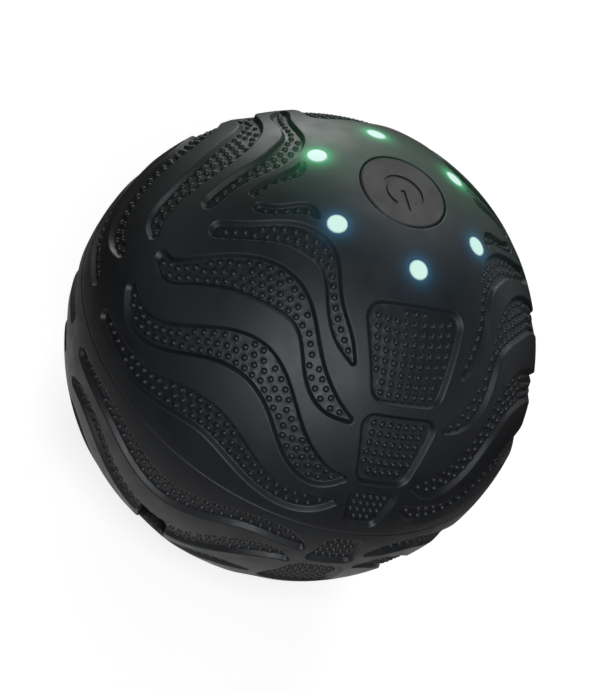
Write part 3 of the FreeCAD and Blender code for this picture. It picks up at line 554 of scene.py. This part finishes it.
def add_seam(b):
    """The half skin's edge at the seam. Returns its rings at the outer and inner surface."""
    turn = np.radians(np.linspace(0, 360, SEAM_SIDES, endpoint=False))
    section = [(math.sqrt(BALL_R ** 2 - up ** 2) - depth, up) for up, depth in SEAM_EDGE]
    rings = [b.add(np.stack([r * np.cos(turn), r * np.sin(turn), np.full(SEAM_SIDES, z)], 1))
             for r, z in section + [(SHELL_R, 0.0)]]
    b.strips(rings)
    return rings[0], rings[-1]


def half_skin(with_top):
    """One half skin, laid out as the upper one. with_top adds the button and light holes."""
    b = Builder()
    outer_holes, inner_holes = [], []
    channels = [Channel(stations, LEAD.get(name, 1.0)) for name, stations in CHANNELS.items()]
    pads = [Pad(*sizes) for sizes in PADS.values()]
    for turn in (0, 180):
        for channel in channels:
            for mirror in (False, True):
                outer_holes.append(add_pocket(b, channel, PAD_AZIMUTH + turn, mirror))
        for pad in pads:
            outer_holes.append(add_pocket(b, pad, PAD_AZIMUTH + turn, False))
    if with_top:
        pole = np.array([0.0, 0.0, 1.0])
        round_holes = [(pole, BUTTON_HOLE_R, BUTTON_HOLE_SIDES)]
        round_holes += [(spot, LIGHT_R, LIGHT_HOLE_SIDES) for spot in light_spots()]
        for hole in round_holes:
            outer, inner = add_hole(b, *hole)
            outer_holes.append(outer)
            inner_holes.append(inner)
    rim, inner_rim = add_seam(b)
    b.fill(rim, outer_holes, BALL_R, FILL_STEP)
    b.fill(inner_rim, inner_holes, SHELL_R, 2 * FILL_STEP)
    return b


def port_frame(x, y, z):
    """Point of the port's own frame, whose Z points out of the ball, in millimetres."""
    turn = math.radians(90 + PORT_TILT)
    c, s = math.cos(turn), math.sin(turn)
    return np.array([x, y * c - z * s, y * s + z * c])


def rounded_ring(width, height, corner):
    """Points of a rounded rectangle about zero."""
    ring = []
    for cx, cy, start in ((1, 1, 0), (-1, 1, 90), (-1, -1, 180), (1, -1, 270)):
        for k in range(PORT_CORNER_POINTS):
            a = math.radians(start + 90 * k / (PORT_CORNER_POINTS - 1))
            ring.append((cx * (width / 2 - corner) + corner * math.cos(a),
                         cy * (height / 2 - corner) + corner * math.sin(a)))
    return ring


def link(name, bm, scale=MM):
    """The mesh as a smooth object of the scene, scaled to metres."""
    mesh = bpy.data.meshes.new(name)
    bmesh.ops.recalc_face_normals(bm, faces=bm.faces[:])
    for face in bm.faces:
        face.smooth = True
    bm.to_mesh(mesh)
    bm.free()
    obj = bpy.data.objects.new(name, mesh)
    bpy.context.scene.collection.objects.link(obj)
    if scale != 1:
        mesh.transform(Matrix.Scale(scale, 4))
    return obj


def lofted(name, rings, scale=MM):
    """Closed solid through rings of equal length, capped at both ends."""
    bm = bmesh.new()
    rows = [[bm.verts.new(p) for p in ring] for ring in rings]
    n = len(rows[0])
    for a, b in zip(rows, rows[1:]):
        for i in range(n):
            bm.faces.new((a[i], a[(i + 1) % n], b[(i + 1) % n], b[i]))
    bm.faces.new(rows[0][::-1])
    bm.faces.new(rows[-1])
    return link(name, bm, scale)


def skin_object(name, builder, flip):
    """The half skin as an object in millimetres, turned over for the lower half."""
    bm = bmesh.new()
    points = np.concatenate(builder.points) * np.array([1, 1, -1 if flip else 1])
    verts = [bm.verts.new(p) for p in points.tolist()]
    for face in builder.faces:
        bm.faces.new([verts[i] for i in face])
    bmesh.ops.delete(bm, geom=[v for v in bm.verts if not v.link_faces], context="VERTS")
    return link(name, bm, 1)


def carve(obj, cutter):
    """Takes the cutter out of the object and deletes the cutter."""
    cut = obj.modifiers.new("cut", "BOOLEAN")
    cut.operation = "DIFFERENCE"
    cut.solver = "EXACT"
    cut.object = cutter
    graph = bpy.context.evaluated_depsgraph_get()
    mesh = bpy.data.meshes.new_from_object(obj.evaluated_get(graph))
    obj.modifiers.clear()
    obj.data = mesh
    bpy.data.objects.remove(cutter)


def even_normals(obj):
    """Lets the large faces set the shading, so that small edge rounds stay crisp."""
    mod = obj.modifiers.new("even", "WEIGHTED_NORMAL")
    mod.weight = 100
    mod.keep_sharp = False


def port_cutter():
    """Closed form of the charging port's opening in the skin, with its rounded mouth."""
    rings = []
    for depth, grow in PORT_EDGE:
        r = BALL_R - depth
        outline = rounded_ring(PORT_W + 2 * grow, PORT_H + 2 * grow, PORT_CORNER + grow)
        rings.append([tuple(port_frame(x, y, math.sqrt(r * r - x * x - y * y)))
                      for x, y in outline])
    return lofted("port_cutter", rings, 1)


def make_skins():
    """Both silicone skins, with the whole tread and the port's opening."""
    upper = skin_object("skin_upper_silicone", half_skin(True), False)
    lower = skin_object("skin_lower_silicone", half_skin(False), True)
    carve(lower, port_cutter())
    for obj in (upper, lower):
        obj.data.transform(Matrix.Scale(MM, 4))
        even_normals(obj)
        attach(obj, "ball")
    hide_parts("upper_skin")
    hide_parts("lower_skin")
    return upper, lower


# ---- node materials: every surface gets its own procedural finish ----
def material(name, color, rough, metal=0.0, spec=0.5):
    """A plain material, with its node tree and shader."""
    mat = bpy.data.materials.new(name)
    mat.use_nodes = True
    shader = mat.node_tree.nodes["Principled BSDF"]
    shader.inputs["Base Color"].default_value = (*color, 1)
    shader.inputs["Roughness"].default_value = rough
    shader.inputs["Metallic"].default_value = metal
    shader.inputs["Specular IOR Level"].default_value = spec
    mat.diffuse_color = (*color, 1)
    return mat, mat.node_tree, shader


def node(tree, kind, **values):
    """A node, with its sockets and settings of these names filled in."""
    n = tree.nodes.new(kind)
    for key, value in values.items():
        if key in n.inputs:
            n.inputs[key].default_value = value
        else:
            setattr(n, key, value)
    return n


def noise(tree, scale, detail=4.0, roughness=0.55):
    """Noise in the object's own space."""
    where = node(tree, "ShaderNodeTexCoord")
    n = node(tree, "ShaderNodeTexNoise", Scale=scale, Detail=detail, Roughness=roughness)
    tree.links.new(where.outputs["Object"], n.inputs["Vector"])
    return n.outputs["Fac"]


def spread(tree, source, low, high):
    """Maps the middle of a noise to a range."""
    r = node(tree, "ShaderNodeMapRange")
    r.inputs["From Min"].default_value = NOISE_MIDDLE[0]
    r.inputs["From Max"].default_value = NOISE_MIDDLE[1]
    r.inputs["To Min"].default_value = low
    r.inputs["To Max"].default_value = high
    tree.links.new(source, r.inputs["Value"])
    return r.outputs["Result"]


def shades(tree, source, dark, light):
    """Maps the middle of a noise to colours from dark to light."""
    ramp = node(tree, "ShaderNodeValToRGB")
    for element, stop, color in zip(ramp.color_ramp.elements, SHADE_STOPS, (dark, light)):
        element.position = stop
        element.color = (*color, 1)
    tree.links.new(source, ramp.inputs["Fac"])
    return ramp.outputs["Color"]


def bumped(tree, shader, source, strength, distance):
    """Fine relief in the finish."""
    b = node(tree, "ShaderNodeBump", Strength=strength, Distance=distance)
    tree.links.new(source, b.inputs["Height"])
    tree.links.new(b.outputs["Normal"], shader.inputs["Normal"])


def moulded(name, color, rough, grain=900.0, depth=0.00002, vary=0.12, spec=0.5):
    """Moulded plastic or rubber: faint colour drift, uneven gloss and a fine spark-eroded grain."""
    mat, tree, shader = material(name, color, rough, 0.0, spec)
    dark = tuple(c * (1 - vary) for c in color)
    light = tuple(min(1.0, c * (1 + vary)) for c in color)
    drift = shades(tree, noise(tree, DRIFT_SCALE), dark, light)
    gloss = spread(tree, noise(tree, GLOSS_SCALE), rough - GLOSS_PLAY, rough + GLOSS_PLAY)
    tree.links.new(drift, shader.inputs["Base Color"])
    tree.links.new(gloss, shader.inputs["Roughness"])
    bumped(tree, shader, noise(tree, grain, 2.0), GRAIN_STRENGTH, depth)
    return mat


def metal(name, color, rough, stretch=(1, 1, 1)):
    """Drawn or turned metal with fine lines along one axis."""
    mat, tree, shader = material(name, color, rough, 1.0)
    where = node(tree, "ShaderNodeTexCoord")
    scale = node(tree, "ShaderNodeMapping")
    scale.inputs["Scale"].default_value = stretch
    lines = node(tree, "ShaderNodeTexNoise", Scale=LINE_SCALE, Detail=3.0)
    tree.links.new(where.outputs["Object"], scale.inputs["Vector"])
    tree.links.new(scale.outputs["Vector"], lines.inputs["Vector"])
    gloss = spread(tree, lines.outputs["Fac"], rough * LINE_GLOSS[0], rough * LINE_GLOSS[1])
    dark = tuple(c * TARNISH for c in color)
    tree.links.new(gloss, shader.inputs["Roughness"])
    tree.links.new(shades(tree, noise(tree, TARNISH_SCALE), dark, color),
                   shader.inputs["Base Color"])
    bumped(tree, shader, lines.outputs["Fac"], LINE_STRENGTH, LINE_DEPTH)
    return mat


def combined(tree, operation, *values):
    """Result of a math node over sockets and plain numbers."""
    n = node(tree, "ShaderNodeMath", operation=operation)
    for socket, value in zip(n.inputs, values):
        if isinstance(value, float):
            socket.default_value = value
        else:
            tree.links.new(value, socket)
    return n.outputs["Value"]


def eased(tree, source, start, end, low, high):
    """A value that goes smoothly from low to high as the source goes from start to end."""
    n = node(tree, "ShaderNodeMapRange", interpolation_type="SMOOTHSTEP")
    for name, value in (("From Min", start), ("From Max", end), ("To Min", low), ("To Max", high)):
        n.inputs[name].default_value = value
    tree.links.new(source, n.inputs["Value"])
    return n.outputs["Result"]


def glow(tree, where, spots, haze_share):
    """Sum of spots that fade with the distance from the rims of the lights, about 1 at a rim."""
    total = None
    for spot in spots:
        gap = node(tree, "ShaderNodeVectorMath", operation="DISTANCE")
        gap.inputs[1].default_value = tuple(spot)
        tree.links.new(where, gap.inputs[0])
        reach = combined(tree, "MULTIPLY_ADD", gap.outputs["Value"], -1 / GLOW_FADE,
                         LIGHT_R * MM / GLOW_FADE)
        fade = combined(tree, "EXPONENT", reach)
        haze = combined(tree, "POWER", fade, HAZE_SLOWER)
        both = combined(tree, "MULTIPLY_ADD", haze, haze_share, fade)
        total = both if total is None else combined(tree, "ADD", total, both)
    return total


def scaled(tree, color, amount):
    """A colour times a value."""
    n = node(tree, "ShaderNodeVectorMath", operation="SCALE")
    n.inputs[0].default_value = color
    tree.links.new(amount, n.inputs["Scale"])
    return n.outputs["Vector"]


def silicone_finish():
    """Satin black silicone with painted glow: emission round the lit lights stands in for their light
    spilling into it.
    """
    mat = moulded("silicone_satin", SILICONE, 0.48, grain=1500.0, depth=0.000012, vary=0.10, spec=0.33)
    tree = mat.node_tree
    shader = tree.nodes["Principled BSDF"]
    shader.inputs["Specular Tint"].default_value = (*SHEEN_TINT, 1)
    where = node(tree, "ShaderNodeTexCoord").outputs["Object"]
    spots = [spot * BALL_R * MM for spot in light_spots()]
    # Painted glow and haze: blue and green emission near the lights, standing in for their spilled
    # light
    blue = glow(tree, where, [spots[i] for i in BLUE_LIGHTS], BLUE_HAZE)
    green = glow(tree, where, [spots[i] for i in GREEN_LIGHTS], GREEN_PAINTED_HAZE)
    both = node(tree, "ShaderNodeVectorMath", operation="ADD")
    tree.links.new(scaled(tree, BLUE_PAINTED_GLOW, blue), both.inputs[0])
    tree.links.new(scaled(tree, GREEN_PAINTED_GLOW, green), both.inputs[1])
    tree.links.new(both.outputs["Vector"], shader.inputs["Emission Color"])
    shader.inputs["Emission Strength"].default_value = 1.0
    return mat


def lit_finish():
    """Frosted light guide, lit through: brightest in the middle of each tip."""
    mat, tree, shader = material("light_guide_lit", LIT_TINT, 0.35)
    where = node(tree, "ShaderNodeTexCoord").outputs["Object"]
    spots = [spot * BALL_R * MM for spot in light_spots()]
    level = eased(tree, glow(tree, where, spots, BLUE_HAZE), *LIT_SPAN, *LIT_LEVELS)
    grain = spread(tree, noise(tree, 2500.0, 2.0), *LIT_GRAIN)
    lit = scaled(tree, LIT_COLOR, combined(tree, "MULTIPLY", level, grain))
    tree.links.new(lit, shader.inputs["Emission Color"])
    shader.inputs["Emission Strength"].default_value = 1.0
    shader.inputs["Base Color"].default_value = (*LIT_BODY, 1)
    return mat


def board_finish():
    """Solder mask over faint copper tracks."""
    mat, tree, shader = material("board_green", (0.01, 0.09, 0.04), 0.35)
    where = node(tree, "ShaderNodeTexCoord")
    tracks = node(tree, "ShaderNodeTexBrick", Scale=420.0)
    tracks.inputs["Color1"].default_value = (0.008, 0.075, 0.032, 1)
    tracks.inputs["Color2"].default_value = (0.010, 0.09, 0.038, 1)
    tracks.inputs["Mortar"].default_value = (0.03, 0.17, 0.06, 1)
    tracks.inputs["Mortar Size"].default_value = 0.03
    tree.links.new(where.outputs["Object"], tracks.inputs["Vector"])
    tree.links.new(tracks.outputs["Color"], shader.inputs["Base Color"])
    bumped(tree, shader, tracks.outputs["Fac"], 0.2, 0.00002)
    return mat


def carried_nodes(finishes):
    """Gives every solid a finish, by its material slot in the record."""
    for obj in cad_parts.values():
        for i, mat in enumerate(obj.data.materials):
            obj.material_slots[i].material = finishes[mat.name.split(".")[0]]


# ---- small pieces ----
def sign_outlines():
    """Outlines of the power sign in millimetres: an open ring, and the bar in its gap."""
    middle, gap = math.radians(PAD_AZIMUTH), math.radians(SIGN_GAP)
    arc = np.linspace(middle + gap, middle + 2 * math.pi - gap, SIGN_POINTS)
    ring = [(r * math.cos(a), r * math.sin(a))
            for r, way in ((SIGN_OUTER, 1), (SIGN_INNER, -1)) for a in arc[::way]]
    ahead = np.array([math.cos(middle), math.sin(middle)])
    side = np.array([-ahead[1], ahead[0]]) * SIGN_LINE / 2
    bar = [tuple(ahead * SIGN_BAR[end] + side * way)
           for end, way in ((0, -1), (1, -1), (1, 1), (0, 1))]
    return ring, bar


def make_button_cap():
    """The power button with its engraved sign, a bar through the gap of a ring."""
    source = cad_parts["power_button"].data
    bm = bmesh.new()
    corners = [bm.verts.new(v.co) for v in source.vertices]
    for polygon in source.polygons:
        bm.faces.new([corners[i] for i in polygon.vertices])
    bmesh.ops.remove_doubles(bm, verts=bm.verts[:], dist=CAP_MERGE)
    bmesh.ops.dissolve_limit(bm, angle_limit=math.radians(CAP_FLAT),
                             verts=bm.verts[:], edges=bm.edges[:])
    cap = link("button_cap", bm, 1)
    top = math.sqrt(BALL_R ** 2 - BUTTON_R ** 2)
    for outline in sign_outlines():
        rings = [[(x * MM, y * MM, z * MM) for x, y in outline]
                 for z in (top - SIGN_DEPTH, top + SIGN_CLEAR)]
        carve(cap, lofted("sign_cutter", rings, 1))
    cap.data.set_sharp_from_angle(angle=math.radians(CAP_SHARP))
    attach(cap, "button")
    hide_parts("power_button")
    return cap


def make_usb_contacts():
    """Gold contacts on both faces of the receptacle's tongue."""
    bm = bmesh.new()
    for face in (-1, 1):
        for i in range(CONTACT_COUNT):
            y = (i - (CONTACT_COUNT - 1) / 2) * CONTACT_PITCH
            x = face * (TONGUE_T / 2 + CONTACT_T / 2)
            z = TONGUE_END - CONTACT_L / 2 - CONTACT_BACK
            made = bmesh.ops.create_cube(bm, size=1)["verts"]
            bmesh.ops.scale(bm, vec=(CONTACT_T, CONTACT_W, CONTACT_L), verts=made)
            bmesh.ops.translate(bm, vec=(x, y, z), verts=made)
    bmesh.ops.bevel(bm, geom=bm.edges[:], offset=CONTACT_BEVEL, segments=1, affect="EDGES")
    for v in bm.verts:
        v.co = Vector(port_frame(*v.co))
    contacts = link("usb_contacts", bm)
    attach(contacts, "ball")
    return contacts


# ---- build and dress ----
skin_upper, skin_lower = make_skins()
button_cap = make_button_cap()
usb_contacts = make_usb_contacts()

silicone = silicone_finish()
button_finish = moulded("button_matt", BUTTON_COLOR, 0.52, grain=1400.0, depth=0.000012, vary=0.06,
                        spec=0.28)
carried_nodes({
    "skin_silicone": silicone,
    "shell_plastic": moulded("shell_abs", (0.016, 0.017, 0.018), 0.45),
    "button_plastic": button_finish,
    "light_plastic": lit_finish(),
    "led_lens": moulded("led_lens_milky", (0.7, 0.66, 0.4), 0.25),
    "board_laminate": board_finish(),
    "chip_plastic": moulded("chip_black", (0.012, 0.012, 0.013), 0.5),
    "socket_plastic": moulded("socket_cream", (0.62, 0.58, 0.48), 0.4),
    "steel": metal("steel_drawn", (0.5, 0.5, 0.51), 0.32, (1, 12, 12)),
    "zinc_screw": metal("zinc_plated", (0.58, 0.59, 0.62), 0.28),
    "nickel": metal("nickel_plated", (0.6, 0.58, 0.54), 0.24),
    "brass": metal("brass_bright", (0.62, 0.44, 0.18), 0.3),
    "copper": metal("copper_wire", (0.6, 0.24, 0.09), 0.35, (1, 30, 30)),
    "ferrite": moulded("ferrite_grey", (0.035, 0.035, 0.038), 0.6),
    "weight_alloy": metal("sintered_alloy", (0.34, 0.34, 0.36), 0.45),
    "cell_sleeve": moulded("cell_sleeve_blue", (0.015, 0.08, 0.24), 0.32),
    "chassis_plastic": moulded("chassis_abs", (0.05, 0.052, 0.055), 0.5),
    "foam": moulded("foam_black", (0.02, 0.02, 0.021), 0.9, grain=500.0, depth=0.0001),
    "black_rubber": moulded("rubber_black", (0.011, 0.011, 0.012), 0.65),
    "carbon": moulded("carbon_graphite", (0.02, 0.02, 0.022), 0.5),
    "cap_plastic": moulded("cap_nylon", (0.5, 0.48, 0.43), 0.45),
})
for piece, finish in ((skin_upper, silicone), (skin_lower, silicone), (button_cap, button_finish),
                      (usb_contacts, metal("contact_gold", (0.7, 0.5, 0.2), 0.25))):
    piece.data.materials.clear()
    piece.data.materials.append(finish)

# ---- camera ----
a, e, roll = (math.radians(v) for v in (CAM_AZIMUTH, CAM_ELEVATION, CAM_ROLL))
away = Vector((math.sin(a) * math.cos(e), -math.cos(a) * math.cos(e), math.sin(e)))
level = Vector((math.cos(a), math.sin(a), 0))
upward = away.cross(level)
cam_up = upward * math.cos(roll) - level * math.sin(roll)
cam_right = level * math.cos(roll) + upward * math.sin(roll)
lens = bpy.data.cameras.new("camera")
lens.lens = CAM_LENS
lens.sensor_width = CAM_SENSOR
lens.clip_start = CAM_NEAR
lens.clip_end = CAM_FAR
camera = bpy.data.objects.new("camera", lens)
camera.matrix_world = Matrix((
    (cam_right.x, cam_up.x, away.x, away.x * CAM_DISTANCE),
    (cam_right.y, cam_up.y, away.y, away.y * CAM_DISTANCE),
    (cam_right.z, cam_up.z, away.z, away.z * CAM_DISTANCE),
    (0, 0, 0, 1)))
bpy.context.scene.collection.objects.link(camera)
bpy.context.scene.camera = camera


# ---- light ----
def softbox(name, right, up, toward, size, power):
    """Round area light aimed at the ball, placed along the camera's own directions."""
    place = cam_right * right + cam_up * up + away * toward
    data = bpy.data.lights.new(name, "AREA")
    data.shape = "DISK"
    data.size = size
    data.energy = power
    lamp = bpy.data.objects.new(name, data)
    lamp.location = place
    lamp.rotation_euler = (-place).to_track_quat("-Z", "Y").to_euler()
    bpy.context.scene.collection.objects.link(lamp)


for name, sizes in LAMPS.items():
    softbox(name, *sizes)


def rays(tree):
    """Rays straight from the camera, and those that came by way of a mirror or glass."""
    path = node(tree, "ShaderNodeLightPath").outputs
    return path["Is Camera Ray"], combined(tree, "MAXIMUM", path["Is Glossy Ray"],
                                           path["Is Transmission Ray"])


def studio():
    """Dim room: all white to the camera, and with a white band at the horizon in mirrors."""
    world = bpy.data.worlds.new("studio")
    world.use_nodes = True
    tree = world.node_tree
    room = tree.nodes["Background"]
    room.inputs["Color"].default_value = (*ROOM_COLOR, 1)
    room.inputs["Strength"].default_value = ROOM_LEVEL
    white = node(tree, "ShaderNodeBackground")
    white.inputs["Color"].default_value = (1, 1, 1, 1)
    straight, mirrored = rays(tree)
    height = node(tree, "ShaderNodeSeparateXYZ")
    tree.links.new(node(tree, "ShaderNodeTexCoord").outputs["Generated"], height.inputs[0])
    band = eased(tree, height.outputs["Z"], 0.0, HORIZON_TOP, 1.0, 0.0)
    pick = node(tree, "ShaderNodeMixShader")
    tree.links.new(combined(tree, "MAXIMUM", straight, combined(tree, "MULTIPLY", mirrored, band)),
                   pick.inputs[0])
    tree.links.new(room.outputs[0], pick.inputs[1])
    tree.links.new(white.outputs[0], pick.inputs[2])
    tree.links.new(pick.outputs[0], tree.nodes["World Output"].inputs["Surface"])
    return world


def floor_finish():
    """Pale paper: white to the camera but for the ball's shadow, and white near the ball in
    mirrors. PAPER_BOUNCE of its light comes back onto the ball."""
    mat, tree, shader = material("floor_paper", (PAPER_TONE,) * 3, PAPER_ROUGH, 0.0, PAPER_SPECULAR)
    straight, mirrored = rays(tree)
    away = node(tree, "ShaderNodeVectorMath", operation="LENGTH")
    tree.links.new(node(tree, "ShaderNodeTexCoord").outputs["Object"], away.inputs[0])
    away = away.outputs["Value"]
    near = eased(tree, away, PAPER_NEAR, PAPER_EDGE, 1.0, 0.0)
    far = eased(tree, away, PAPER_EDGE, PAPER_WHITE, PAPER_LEVEL, 1.0)
    tone = node(tree, "ShaderNodeMix", data_type="FLOAT")
    tone.inputs[3].default_value = PAPER_TONE
    tree.links.new(straight, tone.inputs[0])
    tree.links.new(combined(tree, "MULTIPLY", near, PAPER_BOUNCE), tone.inputs[2])
    tree.links.new(tone.outputs[0], shader.inputs["Base Color"])
    seen = combined(tree, "MULTIPLY", straight, far)
    shown = combined(tree, "MULTIPLY", combined(tree, "MULTIPLY", mirrored, near), PAPER_LEVEL)
    tree.links.new(combined(tree, "MAXIMUM", seen, shown), shader.inputs["Emission Strength"])
    shader.inputs["Emission Color"].default_value = (1, 1, 1, 1)
    return mat


bpy.context.scene.world = studio()
bm = bmesh.new()
bmesh.ops.create_grid(bm, x_segments=FLOOR_CELLS, y_segments=FLOOR_CELLS, size=FLOOR_HALF)
floor = link("floor", bm, 1)
floor.location.z = -BALL_R * MM - FLOOR_GAP
floor.data.materials.append(floor_finish())

bpy.context.scene.view_settings.view_transform = "Standard"
